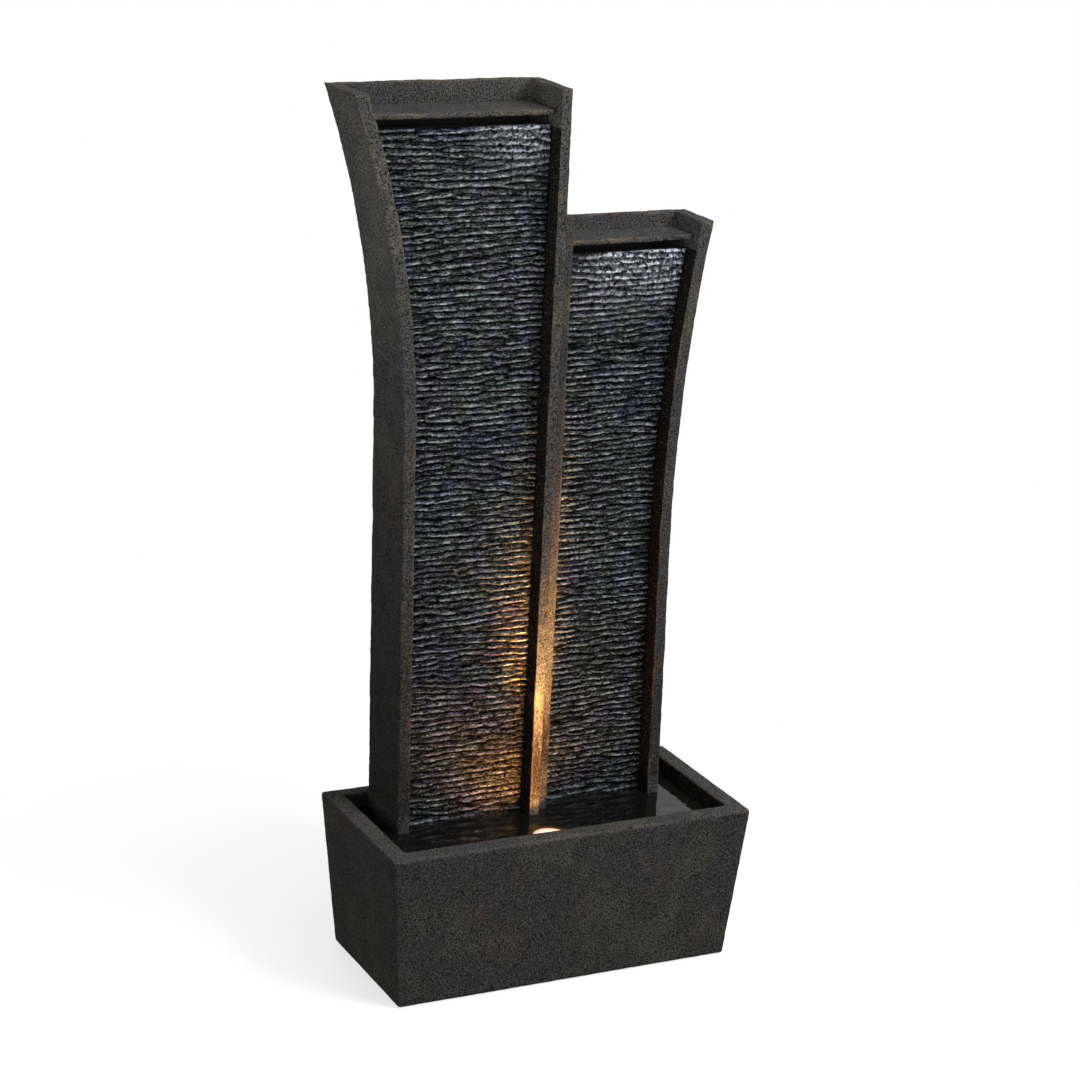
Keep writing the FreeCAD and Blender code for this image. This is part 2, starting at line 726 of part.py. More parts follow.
def volute():
    """The impeller's chamber, with a spoked eye towards the intake and the outlet barb on top."""
    body = pump_body("pump_volute")
    pad(body, bevelled_block(body, "0"), VOLUTE_END)
    pocket(body, disc(body, "0", "dims.chamber_radius"), "dims.chamber_depth", True)
    pocket(body, disc(body, "dims.chamber_depth", SHAFT_BORE), "dims.volute_face / 2", True)
    outlet = ("dims.chamber_depth / 2", "0")
    sketch = new_sketch(body, "XY_Plane", "dims.pump_height / 2")
    polygon(sketch, BARB_OUTER, BARB_SIDES, *outlet)
    pad(body, sketch, "dims.barb_length + dims.barb_shoulder")
    barb_end = "dims.pump_height / 2 + dims.barb_length + dims.barb_shoulder"
    sketch = new_sketch(body, "XY_Plane", barb_end)
    polygon(sketch, BARB_BORE, BARB_SIDES, *outlet)
    pocket(body, sketch, f"{barb_end} - dims.chamber_radius + dims.volute_wall")
    sketch = new_sketch(body, "YZ_Plane", VOLUTE_END)
    box_outline(sketch, "dims.eye_hub", "-dims.eye_slot / 2", "dims.eye_radius", "dims.eye_slot / 2")
    around(body, pocket(body, sketch, "dims.volute_face"), EYE_SLOTS)
    return body


def impeller():
    """The magnet rotor with its straight blades, running on the fixed shaft."""
    shaft = pump_body("pump_shaft")
    low = f"-({WELL_DEPTH} + dims.shaft_socket - dims.loose_fit)"
    high = "dims.chamber_depth + dims.volute_face / 2 - dims.loose_fit"
    pad(shaft, disc(shaft, low, "dims.shaft_radius"), f"{high} - {low}")
    body = pump_body("pump_impeller")
    magnet = disc(body, "-dims.rotor_length", "dims.rotor_radius", SHAFT_BORE)
    pad(body, magnet, "dims.rotor_length + dims.blade_lift")
    pad(body, disc(body, "dims.blade_lift", "dims.eye_hub", SHAFT_BORE), "dims.blade_depth")
    sketch = new_sketch(body, "YZ_Plane", "dims.blade_lift")
    half = "dims.blade_thickness / 2"
    box_outline(sketch, "dims.eye_hub - dims.blade_root", f"-{half}", "dims.blade_radius", half)
    around(body, pad(body, sketch, "dims.blade_depth"), BLADES)
    return [shaft, body]


def intake():
    """The slotted intake cover and the flow dial that turns in it."""
    cover = pump_body("pump_intake_cover")
    pad(cover, bevelled_block(cover, VOLUTE_END), "dims.intake_depth")
    inside = bevelled_block(cover, VOLUTE_END, "dims.intake_wall")
    pocket(cover, inside, "dims.intake_depth - dims.intake_wall", True)
    sketch = new_sketch(cover, "YZ_Plane", INTAKE_END)
    ring(sketch, "dims.dial_stem + dims.dial_fit")
    half = "(dims.pump_height / 2 - dims.pump_bevel - dims.intake_wall)"
    for hand in (-1, 1):
        for row in (0, 1):
            near = f"{hand} * (dims.dial_radius + dims.intake_slot_margin + {row} * dims.intake_slot_pitch)"
            far = f"{near} + {hand} * dims.intake_slot"
            low, high = (near, far) if hand > 0 else (far, near)
            box_outline(sketch, low, f"-{half}", high, half)
    pocket(cover, sketch, "dims.intake_wall + dims.cut_over")
    dial = pump_body("pump_flow_dial")
    under = f"{INTAKE_END} + dims.dial_lift"
    sketch = new_sketch(dial, "YZ_Plane", under)
    polygon(sketch, "dims.dial_radius", KNOB_SIDES)
    pad(dial, sketch, "dims.dial_depth / 2")
    stem = disc(dial, under, "dims.dial_stem")
    pad(dial, stem, "dims.dial_lift + dims.intake_wall + dims.dial_stem_tail", True)
    sketch = new_sketch(dial, "YZ_Plane", f"{under} + dims.dial_depth / 2")
    reach, half_grip = "dims.dial_grip_reach", "dims.dial_grip / 2"
    box_outline(sketch, f"-{reach}", f"-{half_grip}", reach, half_grip)
    pad(dial, sketch, "dims.dial_depth / 2")
    return [cover, dial]


def suction_feet():
    cups = []
    for number, (sx, sy) in enumerate(((0, -1), (0, 1), (1, -1), (1, 1))):
        cup = new_body(f"suction_cup_{number}")
        sketch = new_sketch(cup, "XY_Plane")
        polygon(sketch, "dims.cup_radius", CUP_SIDES)
        pad(cup, sketch, "dims.cup_height")
        sketch = new_sketch(cup, "XY_Plane", "dims.cup_height")
        polygon(sketch, "dims.cup_neck", CUP_SIDES)
        pad(cup, sketch, "dims.pump_foot - dims.cup_height")
        x = "-dims.motor_depth + dims.cup_inset" if sx == 0 else f"{VOLUTE_END} - dims.cup_radius"
        place(cup, f"dims.pump_x - dims.chamber_depth / 2 + {x}",
              f"derived.hose_y + {sy} * (dims.pump_width / 2 - dims.cup_inset)", "dims.basin_floor")
        cups.append(cup)
    return group("pump_suction_feet", cups)


# The lamp's own frame: origin on its tilt axis, which runs along X
HOUSING_TOP = "(dims.led_pivot_drop - dims.led_lens_thickness)"
HOUSING_LOW = "(dims.led_pivot_drop - dims.led_body_height)"
BOSS_FACE = "(dims.led_radius + dims.pivot_boss_length)"
ARM_INSIDE = "(dims.led_radius + dims.pivot_boss_length + dims.yoke_gap)"
PIVOT_Z = "(derived.water_z - dims.led_depth - dims.led_pivot_drop)"
LAMP_SWING = f"sqrt(dims.led_radius ^ 2 + {HOUSING_LOW} ^ 2)"
YOKE_FLOOR = f"(-{LAMP_SWING} - dims.yoke_clearance)"
FOOT_Z = f"(dims.basin_floor - {PIVOT_Z})"


def lamp_body(label):
    body = new_body(label)
    place(body, "0", "derived.led_y", PIVOT_Z)
    return body


def lamp_housing():
    """The potted lamp body, with a flat on each side and on it a boss for the tilt screw."""
    body = lamp_body("led_housing")
    flat = "(dims.led_radius - dims.led_flat)"
    half = f"sqrt(dims.led_radius ^ 2 - {flat} ^ 2)"
    sketch = new_sketch(body, "XY_Plane", HOUSING_LOW)
    arc = ("dims.led_radius", "0", "0")
    outline(sketch, [(flat, f"-{half}"), (flat, half), (f"-{flat}", half), (f"-{flat}", f"-{half}")],
            {1: arc, 3: arc})
    pad(body, sketch, f"{HOUSING_TOP} - {HOUSING_LOW}")
    for hand in (-1, 1):
        sketch = new_sketch(body, "YZ_Plane", f"{hand} * {flat}")
        polygon(sketch, "dims.pivot_boss", BOSS_SIDES)
        pad(body, sketch, "dims.pivot_boss_length + dims.led_flat", hand < 0)
    for hand in (-1, 1):
        sketch = new_sketch(body, "YZ_Plane", f"{hand} * {BOSS_FACE}")
        ring(sketch, "dims.pivot_radius + dims.pivot_fit")
        pocket(body, sketch, "dims.pivot_boss_length + dims.pivot_tip_gap", hand < 0)
    return body


def lamp_face():
    """The frosted glass and the bezel ring round it, both seated on the housing."""
    lens = lamp_body("led_lens")
    rim = "(dims.led_radius - dims.led_lens_inset)"
    sketch = new_sketch(lens, "XY_Plane", HOUSING_TOP)
    ring(sketch, rim)
    pad(lens, sketch, "dims.led_lens_thickness")
    bezel = lamp_body("led_bezel")
    inside = f"{rim} + dims.led_bezel_gap"
    sketch = new_sketch(bezel, "XY_Plane", HOUSING_TOP)
    ring(sketch, f"{inside} + dims.led_bezel_wall")
    ring(sketch, inside)
    pad(bezel, sketch, "dims.led_lens_thickness + dims.led_bezel_rise")
    return [lens, bezel]


def lamp_mounting():
    """The stand, moulded in one piece with the yoke that holds the lamp, and the tilt screws."""
    stand = lamp_body("led_stand")
    half = "derived.stand_width / 2"
    base_top = value(f"{FOOT_Z} + dims.stand_base")
    sketch = new_sketch(stand, "XY_Plane", FOOT_Z)
    box_outline(sketch, f"-{half}", f"-{half}", half, half)
    pad(stand, sketch, "dims.stand_base")
    dress_edges(stand, "Chamfer", "dims.stand_bevel", lambda edge: edge.BoundBox.ZMin > base_top - NEAR)
    sketch = new_sketch(stand, "XY_Plane", FOOT_Z)
    ring(sketch, "dims.stand_post")
    pad(stand, sketch, f"{YOKE_FLOOR} - dims.yoke_thickness / 2 - {FOOT_Z}")
    outside = f"({ARM_INSIDE} + dims.yoke_thickness)"
    top = "dims.yoke_width / 2"
    low = f"{YOKE_FLOOR} - dims.yoke_thickness"
    sketch = new_sketch(stand, "XZ_Plane", "-dims.yoke_width / 2")
    outline(sketch, [
        (f"-{outside}", low), (outside, low), (outside, top), (ARM_INSIDE, top), (ARM_INSIDE, YOKE_FLOOR),
        (f"-{ARM_INSIDE}", YOKE_FLOOR), (f"-{ARM_INSIDE}", top), (f"-{outside}", top),
    ])
    pad(stand, sketch, "dims.yoke_width")
    arm_top = value(top)

    def across_arm_end(edge):
        return edge.BoundBox.ZMin > arm_top - NEAR and edge.BoundBox.XLength > NEAR

    dress_edges(stand, "Chamfer", "dims.yoke_bevel", across_arm_end)
    sketch = new_sketch(stand, "YZ_Plane", outside)
    ring(sketch, "dims.pivot_radius + dims.pivot_fit")
    pocket(stand, sketch, f"2 * {outside}")
    screws = []
    under_head = f"({outside} + dims.loose_fit)"
    for name, hand in SIGN.items():
        screw = lamp_body(f"pivot_screw_{name}")
        sketch = new_sketch(screw, "YZ_Plane", f"{hand} * {under_head}")
        ring(sketch, "dims.pivot_radius")
        pad(screw, sketch, f"{under_head} - {BOSS_FACE} + dims.pivot_boss_length", hand > 0)
        sketch = new_sketch(screw, "YZ_Plane", f"{hand} * {under_head}")
        polygon(sketch, "dims.pivot_head", HEX_SIDES)
        pad(screw, sketch, "dims.pivot_head_height", hand < 0)
        screws.append(screw)
    return [stand, group("led_pivot_screws", screws)]


def main():
    nodes = [basin()]
    for side in SIGN:
        shell = tower(side)
        if side == "left":
            rear_openings(shell)
        nodes += [shell, ripple_panel(side), header_shelf(side), spill_trough(side)]
    nodes += pipework() + rear_hatch() + [cord_grommet()]
    nodes += [motor_housing(), volute(), suction_feet()] + impeller() + intake()
    nodes += [lamp_housing()] + lamp_face() + lamp_mounting()
    doc.recompute()
    for item in doc.Objects:
        if "Invalid" in item.State or "Error" in item.State:
            raise RuntimeError(f"{item.Label} did not build")
    os.makedirs("parts", exist_ok=True)
    for node in nodes:
        if node.Shape.isNull() or not node.Shape.isValid():
            raise RuntimeError(f"{node.Label} is not a valid shape")
        node.Shape.exportStep(f"parts/{node.Label}.step")


main()
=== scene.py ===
import json
import math
import bpy
import numpy as np
from mathutils import Matrix, Vector
from mathutils.bvhtree import BVHTree


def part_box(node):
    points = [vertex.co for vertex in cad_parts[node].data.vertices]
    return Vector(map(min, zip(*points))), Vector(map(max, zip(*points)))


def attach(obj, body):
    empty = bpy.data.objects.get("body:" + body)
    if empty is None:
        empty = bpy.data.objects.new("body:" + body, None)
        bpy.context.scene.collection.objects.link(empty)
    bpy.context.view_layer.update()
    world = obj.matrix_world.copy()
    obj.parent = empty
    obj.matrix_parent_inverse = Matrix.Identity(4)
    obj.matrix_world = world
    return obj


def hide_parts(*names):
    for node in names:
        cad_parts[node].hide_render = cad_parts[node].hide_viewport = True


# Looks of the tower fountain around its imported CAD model. Metres, +X right, +Y back, +Z up.

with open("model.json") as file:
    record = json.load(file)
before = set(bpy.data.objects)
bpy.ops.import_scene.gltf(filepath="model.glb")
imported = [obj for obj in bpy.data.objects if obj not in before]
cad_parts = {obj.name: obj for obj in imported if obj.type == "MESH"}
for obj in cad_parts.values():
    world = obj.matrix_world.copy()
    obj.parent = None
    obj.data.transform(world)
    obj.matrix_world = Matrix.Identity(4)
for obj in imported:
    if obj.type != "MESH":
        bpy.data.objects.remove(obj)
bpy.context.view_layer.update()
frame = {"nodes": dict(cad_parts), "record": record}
ROOT = "fountain"
TOUCH = 1e-5

# Stone surface: each cast piece's share of the wear, its lumps' sizes and depths, and the share of faces kept
STONE_WEAR = {
    "basin": 0.5, "left_tower": 1.0, "right_tower": 1.0, "left_header_shelf": 1.0, "right_header_shelf": 1.0,
    "rear_hatch": 0.3,
}
STONE_WELD = 0.00002
STONE_VOXEL = 0.0018
STONE_LUMPS = ((0.03, 0.0014), (0.009, 0.0010))
STONE_LUMP_DETAIL = 2
STONE_SHARE = 0.36

# Where the stone is painted near-black, partly as wet stone and partly as painted shade: the line between the
# towers, each channel's middle and top, and how dark it is painted on the channels' inner sides and at each
# height, darker near the water
DAMP_AND_SHADE_SPLIT = 0.0067
DAMP_AND_SHADE_MIDDLES = (-0.10, 0.09)
DAMP_AND_SHADE_TOPS = (0.975, 0.828)
DAMP_AND_SHADE_SCALE = 10
DAMP_AND_SHADE_INNER = ((0.15, 0), (0.35, 0.95))
DARKER_NEAR_WATER_HEIGHTS = ((0.188, 0), (0.190, 0.55), (0.26, 0.45), (0.48, 0))

# Water walls: laps about one pitch apart. A cell is the width and height of a lap's wander, a lump or a
# patch, and the shares are those of laps, lumps and patches in the surface's height.
RIPPLE_PITCH = 0.0075
RIPPLE_STEP_X = 0.0012
RIPPLE_STEP_Z = 0.00075
RIPPLE_DEPTH = 0.003
RIPPLE_LIP = 0.22
RIPPLE_REACH = (0.070, 0.032)
RIPPLE_FAINTEST = 0.4
RIPPLE_WANDER = 0.0007
RIPPLE_WANDER_CELL = (0.006, 0.004)
RIPPLE_LUMP_CELL = (0.0030, 0.0020)
RIPPLE_PATCH_CELL = (0.020, 0.014)
RIPPLE_SHARES = (0.60, 0.25, 0.15)
RIPPLE_EVEN_CREST = 0.7
RIPPLE_SEEDS = {"left": 11, "right": 23}

# Froth and painted glints where the water lands and at the water line: how far down they reach, and the share
# of the width where they start
FROTH_AND_GLINTS = {"left": (0.036, 0.50), "right": (0.045, 0.0)}
FROTH_AND_GLINTS_SPAN = 0.4
FROTH_LEVELLING = 0.3
FOOT_FROTH_AND_GLINTS = 0.25
FOOT_FROTH_AND_GLINTS_HEIGHT = 0.003

# Water in the basin
WATER_FREEBOARD = 0.019
WATER_STEP = 0.002
WATER_WAVE_HEIGHT = 0.00012
WATER_WAVES = ((1.0, (0.02, 0.014)), (0.5, (0.008, 0.006)))
WATER_SEED = 5
WATER_START = (-0.10, -0.04)
WALL_OVERLAP = 0.0015

# Light of the lamp: each spot's aim, cone, watts and colour
GOLD = (1.0, 0.52, 0.190)
AMBER = (1.0, 0.37, 0.075)
COPPER = (1.0, 0.34, 0.030)
BEAMS = (
    ("lamp_beam", (0, 0.252, 1), math.radians(16), 92, GOLD),
    ("lamp_edge", (-0.135, 0.306, 1), math.radians(16), 60, AMBER),
    ("lamp_right", (0.10, 0.38, 1), math.radians(18), 28, GOLD),
    ("lamp_wash", (-0.05, 0.32, 1), math.radians(44), 8, AMBER),
    ("lamp_left", (-0.80, 1.0, 0.70), math.radians(70), 4.2, COPPER),
    ("lamp_step", (0.27, 1.0, 0.60), math.radians(30), 2.5, GOLD),
    ("lamp_foot", (0.04, 1, 0.33), math.radians(40), 2.2, GOLD),
    ("lamp_spill", (0, 0.03, 1), math.radians(180), 2.8, AMBER),
)
BEAM_RADIUS = 0.010
BEAM_RISE = 0.003
LAMP_GLOW = 5

# Studio: each softbox's place, aim, width and watts, and those that no reflection shows
WORLD_LIGHT = 0.15
WORLD_COLOUR = (0.97, 0.98, 1, 1)
FLOOR_HALF = 6.0
FLOOR_LEVEL = -0.0003
FLOOR_COLOUR = (0.98, 0.98, 0.98)
FLOOR_BOUNCE = (0.06, 0.06, 0.06)
FLOOR_FADE = (0.22, 0.8)
FLOOR_GLOW = 0.72
SOFTBOXES = (
    ("key", (1.0, -1.55, 2.1), (0, 0, 0.5), 1.0, 80),
    ("fill", (-2.4, -1.0, 0.6), (0, 0, 0.5), 1.4, 19),
    ("flare", (-1.3, -0.6, 1.0), (-0.25, 0, 0.98), 0.4, 0.9),
    ("top", (0.2, -0.5, 3.0), (0, 0, 0.5), 1.6, 36),
    ("back", (0.3, 2.6, 1.5), (0, 0, 0.5), 1.4, 40),
)
SPREADS = {"flare": math.radians(40)}
UNREFLECTED = ("fill", "flare", "back")

# Moulded and metal pieces: dark and pale tone, roughness and metallic share
PLAIN_GRAIN = 120
PLAIN_FINE_GRAIN = 600
PLAINS = {
    "trough_plastic": ((0.010, 0.010, 0.011), (0.018, 0.018, 0.020), 0.5, 0),
    "clear_hose": ((0.34, 0.38, 0.36), (0.46, 0.50, 0.48), 0.2, 0),
    "fitting_plastic": ((0.012, 0.012, 0.012), (0.022, 0.022, 0.022), 0.45, 0),
    "steel": ((0.50, 0.50, 0.49), (0.62, 0.62, 0.61), 0.3, 1),
    "pump_plastic": ((0.012, 0.013, 0.015), (0.022, 0.024, 0.027), 0.45, 0),
    "dial_plastic": ((0.06, 0.065, 0.075), (0.09, 0.097, 0.11), 0.4, 0),
    "impeller_plastic": ((0.55, 0.55, 0.52), (0.68, 0.68, 0.65), 0.4, 0),
    "shaft_ceramic": ((0.74, 0.74, 0.70), (0.85, 0.85, 0.82), 0.15, 0),
    "rubber": ((0.012, 0.012, 0.012), (0.022, 0.022, 0.022), 0.8, 0),
    "lamp_plastic": ((0.012, 0.012, 0.012), (0.022, 0.022, 0.021), 0.4, 0),
}

# Camera, from a perspective fit of the basin's and towers' corners
CAMERA_AZIMUTH = math.radians(26.51)
CAMERA_ELEVATION = math.radians(17.26)
CAMERA_ROLL = math.radians(2.66)
CAMERA_DISTANCE = 3.32325
CAMERA_TARGET = Vector((-0.01047, 0, 0.50727))
CAMERA_LENS = 97.67
CAMERA_SENSOR = 36


# Materials
def new_material(name):
    material = bpy.data.materials.new(name)
    material.use_nodes = True
    tree = material.node_tree
    return material, tree, tree.nodes["Principled BSDF"]


def add(tree, kind, **values):
    """A shader node with some of its settings and unlinked inputs."""
    node = tree.nodes.new(kind)
    for name, value in values.items():
        if name in node.inputs:
            node.inputs[name].default_value = value
        else:
            setattr(node, name, value)
    return node


def noise(tree, scale, detail=4.0, rough=0.6, stretch=1.0):
    """Noise in the object's own space, with its spots drawn out sideways by the stretch."""
    coordinates = add(tree, "ShaderNodeTexCoord")
    drawn = add(tree, "ShaderNodeVectorMath", operation="MULTIPLY")
    drawn.inputs[1].default_value = (1 / stretch, 1, 1)
    texture = add(tree, "ShaderNodeTexNoise", Scale=scale, Detail=detail, Roughness=rough)
    tree.links.new(coordinates.outputs["Object"], drawn.inputs[0])
    tree.links.new(drawn.outputs["Vector"], texture.inputs["Vector"])
    return texture.outputs["Fac"]


def ramp(tree, source, stops):
    """A colour ramp of (place, colour) stops fed by source."""
    node = add(tree, "ShaderNodeValToRGB")
    elements = node.color_ramp.elements
    while len(elements) < len(stops):
        elements.new(0.5)
    for element, (place, colour) in zip(elements, stops):
        element.position = place
        element.color = (*colour, 1)
    tree.links.new(source, node.inputs["Fac"])
    return node.outputs["Color"]


def levels(tree, source, stops):
    """A grey ramp of (place, level) stops fed by source."""
    return ramp(tree, source, [(place, (level, level, level)) for place, level in stops])


def feed(tree, value, socket):
    """Link another node's output to a socket, or set the socket's own value."""
    if isinstance(value, bpy.types.NodeSocket):
        tree.links.new(value, socket)
    else:
        socket.default_value = value


def mix(tree, factor, first, second, blend="MIX"):
    node = add(tree, "ShaderNodeMix", data_type="RGBA", blend_type=blend)
    for value, socket in ((factor, node.inputs[0]), (first, node.inputs[6]), (second, node.inputs[7])):
        feed(tree, value, socket)
    return node.outputs[2]


def times(tree, first, second):
    return mix(tree, 1.0, first, second, "MULTIPLY")


def split(tree, vector):
    """The X, Y and Z outputs of a vector."""
    node = add(tree, "ShaderNodeSeparateXYZ")
    tree.links.new(vector, node.inputs[0])
    return node.outputs


def bump(tree, shader, source, strength, distance):
    node = add(tree, "ShaderNodeBump", Strength=strength, Distance=distance)
    tree.links.new(source, node.inputs["Height"])
    tree.links.new(node.outputs["Normal"], shader.inputs["Normal"])


def maths(tree, operation, *values):
    node = add(tree, "ShaderNodeMath", operation=operation)
    for value, socket in zip(values, node.inputs):
        feed(tree, value, socket)
    return node.outputs[0]


def by_tower(tree, on_right, values):
    """The left or the right tower's value."""
    left, right = values
    return maths(tree, "MULTIPLY_ADD", on_right, right - left, left)


def damp_and_shade(tree):
    """How far the stone is painted near-black: the channels' inner sides beside the water walls, as wet stone
    and painted shade, and the towers' feet, darker near the water.
    """
    place = split(tree, add(tree, "ShaderNodeTexCoord").outputs["Object"])
    facing = split(tree, add(tree, "ShaderNodeNewGeometry").outputs["True Normal"])
    on_right = maths(tree, "GREATER_THAN", place["X"], DAMP_AND_SHADE_SPLIT)
    middle = by_tower(tree, on_right, DAMP_AND_SHADE_MIDDLES)
    top = by_tower(tree, on_right, DAMP_AND_SHADE_TOPS)
    inward = maths(tree, "MULTIPLY", facing["X"], maths(tree, "SUBTRACT", middle, place["X"]))
    inner = levels(tree, maths(tree, "MULTIPLY", inward, DAMP_AND_SHADE_SCALE), DAMP_AND_SHADE_INNER)
    below = maths(tree, "LESS_THAN", place["Z"], top)
    rising = levels(tree, place["Z"], DARKER_NEAR_WATER_HEIGHTS)
    return mix(tree, 1.0, maths(tree, "MULTIPLY", inner, below), rising, "LIGHTEN")


def stone():
    """Sandy cast stone: dark grey with olive, rust and blue-grey patches, worn edges, and painted shade with
    wet stone on the channels' inner sides.
    """
    material, tree, shader = new_material("cast_stone")
    body = ramp(tree, noise(tree, 11, detail=6, rough=0.62), [
        (0.28, (0.019, 0.020, 0.021)), (0.42, (0.037, 0.038, 0.043)), (0.52, (0.034, 0.035, 0.034)),
        (0.62, (0.047, 0.047, 0.041)), (0.74, (0.037, 0.038, 0.044)),
    ])
    rust = levels(tree, noise(tree, 16, detail=6, rough=0.72), [(0.57, 0), (0.74, 0.55)])
    body = mix(tree, rust, body, (0.080, 0.052, 0.040, 1))
    sand = noise(tree, 540, detail=3, rough=0.8)
    pores = ramp(tree, sand, [(0.40, (0.06, 0.06, 0.07)), (0.60, (2.1, 2.07, 2.03))])
    body = times(tree, body, pores)
    # Painted shade: the channels' inner sides are painted near-black, partly wet stone and partly painted
    # shade, and the towers' feet darker near the water
    body = mix(tree, damp_and_shade(tree), body, (0.003, 0.003, 0.003, 1))
    grains = levels(tree, noise(tree, 500, detail=2, rough=0.6), [(0.58, 0), (0.74, 0.8)])
    body = mix(tree, grains, body, (0.148, 0.124, 0.090, 1))
    geometry = add(tree, "ShaderNodeNewGeometry")
    edge = levels(tree, geometry.outputs["Pointiness"], [(0.510, 0), (0.545, 0.55)])
    patches = levels(tree, noise(tree, 35), [(0.44, 0), (0.64, 1)])
    worn = times(tree, edge, patches)
    body = mix(tree, worn, body, (0.16, 0.122, 0.078, 1))
    tree.links.new(body, shader.inputs["Base Color"])
    shader.inputs["Roughness"].default_value = 0.85
    shader.inputs["Specular IOR Level"].default_value = 0.03
    bump(tree, shader, sand, strength=1.0, distance=0.002)
    return material


def wet_stone():
    """The water walls: dark wet ridges with fine specks, painted shade in the hollows and painted highlights
    on the lips, and pale painted glints where the water lands and froths.
    """
    material, tree, shader = new_material("water_wall")
    crest = add(tree, "ShaderNodeAttribute", attribute_name="crest").outputs["Fac"]
    froth_and_glints = add(tree, "ShaderNodeAttribute", attribute_name="froth_and_glints").outputs["Fac"]
    colour = ramp(tree, noise(tree, 14, detail=3), [
        (0.38, (0.012, 0.013, 0.020)), (0.50, (0.013, 0.016, 0.014)), (0.62, (0.014, 0.013, 0.020)),
    ])
    film = ramp(tree, noise(tree, 22, detail=4), [
        (0.36, (0.62, 0.68, 0.84)), (0.50, (0.85, 0.95, 0.88)), (0.64, (0.98, 0.98, 1.0)),
    ])
    tree.links.new(film, shader.inputs["Specular Tint"])
    # Painted shade and painted highlight: the colour darkens in the hollows between laps and brightens
    # towards each lap's lip
    painted_lap_light = levels(tree, crest, [(0.10, 0.15), (0.50, 1.0), (0.72, 1.6), (0.90, 3.2)])
    colour = times(tree, colour, painted_lap_light)
    speckle = levels(tree, noise(tree, 560, detail=3, rough=0.75, stretch=2), [(0.40, 0.03), (0.62, 2.9)])
    clumps = levels(tree, noise(tree, 300, detail=3, rough=0.7, stretch=4), [(0.42, 0.25), (0.62, 2.1)])
    speckle = times(tree, speckle, clumps)
    colour = times(tree, colour, speckle)
    # Painted highlights: pale specks on the laps' lips where the water lands and at the water line, standing
    # for glints on the frothing water
    glint_specks = levels(tree, noise(tree, 210, detail=3, rough=0.7), [(0.46, 0), (0.58, 1)])
    glints_on_lips = levels(tree, crest, [(0.35, 0.15), (0.85, 1)])
    painted_glints = times(tree, times(tree, froth_and_glints, glint_specks), glints_on_lips)
    colour = mix(tree, painted_glints, colour, (0.66, 0.69, 0.82, 1))
    tree.links.new(colour, shader.inputs["Base Color"])
    wet = levels(tree, crest, [(0.20, 0.02), (0.65, 0.16), (0.90, 1.05)])
    facing = split(tree, add(tree, "ShaderNodeNewGeometry").outputs["Normal"])
    upper = levels(tree, facing["Z"], [(0.0, 0.7), (0.3, 1)])
    wet = times(tree, wet, upper)
    tree.links.new(times(tree, wet, speckle), shader.inputs["Specular IOR Level"])
    gloss = levels(tree, noise(tree, 130, detail=4, rough=0.7), [(0.35, 0.04), (0.7, 0.17)])
    tree.links.new(gloss, shader.inputs["Roughness"])
    bump(tree, shader, noise(tree, 520, detail=4, rough=0.75), strength=1.0, distance=0.0018)
    return material


def water():
    """A dark still surface that lets the lamp shine through."""
    material, tree, shader = new_material("water")
    colour = ramp(tree, noise(tree, 20), [(0.35, (0.003, 0.003, 0.003)), (0.7, (0.007, 0.007, 0.006))])
    tree.links.new(colour, shader.inputs["Base Color"])
    shader.inputs["Roughness"].default_value = 0.06
    shader.inputs["IOR"].default_value = 1.33
    shader.inputs["Alpha"].default_value = 0.75
    return material


def plain(name, dark, pale, roughness, metallic):
    """A moulded or metal surface with slight changes of tone and a fine grain."""
    material, tree, shader = new_material(name)
    tone = ramp(tree, noise(tree, PLAIN_GRAIN), [(0.35, dark), (0.65, pale)])
    tree.links.new(tone, shader.inputs["Base Color"])
    shader.inputs["Roughness"].default_value = roughness
    shader.inputs["Metallic"].default_value = metallic
    bump(tree, shader, noise(tree, PLAIN_FINE_GRAIN), strength=0.08, distance=0.0003)
    return material


def lamp_glass():
    material, tree, shader = new_material("lamp_glass")
    colour = ramp(tree, noise(tree, 80), [(0.35, (0.9, 0.75, 0.5)), (0.65, (1.0, 0.86, 0.64))])
    tree.links.new(colour, shader.inputs["Base Color"])
    shader.inputs["Roughness"].default_value = 0.35
    coordinates = add(tree, "ShaderNodeTexCoord")
    flat = add(tree, "ShaderNodeVectorMath", operation="MULTIPLY")
    flat.inputs[1].default_value = (1, 1, 0)
    distance = add(tree, "ShaderNodeVectorMath", operation="DISTANCE")
    distance.inputs[1].default_value = (0.5, 0.5, 0)
    tree.links.new(coordinates.outputs["Generated"], flat.inputs[0])
    tree.links.new(flat.outputs["Vector"], distance.inputs[0])
    glow = ramp(tree, distance.outputs["Value"], [
        (0.0, (1, 0.86, 0.78)), (0.38, (1, 0.74, 0.60)), (0.45, (0.8, 0.32, 0.12)), (0.49, (0.2, 0.05, 0.02)),
    ])
    tree.links.new(glow, shader.inputs["Emission Color"])
    shader.inputs["Emission Strength"].default_value = LAMP_GLOW
    return material


SLOTS = {"cast_stone": stone(), "water_wall": wet_stone()}
SLOTS |= {name: plain(name, *look) for name, look in PLAINS.items()}
SLOTS["lamp_glass"] = lamp_glass()
for subpart in frame["record"]["subparts"]:
    node = frame["nodes"][subpart["node"]]
    node.data.materials.clear()
    node.data.materials.append(SLOTS[subpart["material_slot"]])


# Geometry helpers
def row_points(node):
    """The vertices of a CAD node at rest, in the part's own frame."""
    return np.array([node.matrix_world @ vertex.co for vertex in node.data.vertices])


def water_level():
    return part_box("basin")[1][2] - WATER_FREEBOARD


def mesh_object(name, points, faces, material):
    mesh = bpy.data.meshes.new(name)
    mesh.from_pydata([tuple(point) for point in points], [], faces)
    mesh.materials.append(material)
    mesh.validate()
    made = bpy.data.objects.new(name, mesh)
    bpy.context.collection.objects.link(made)
    return made


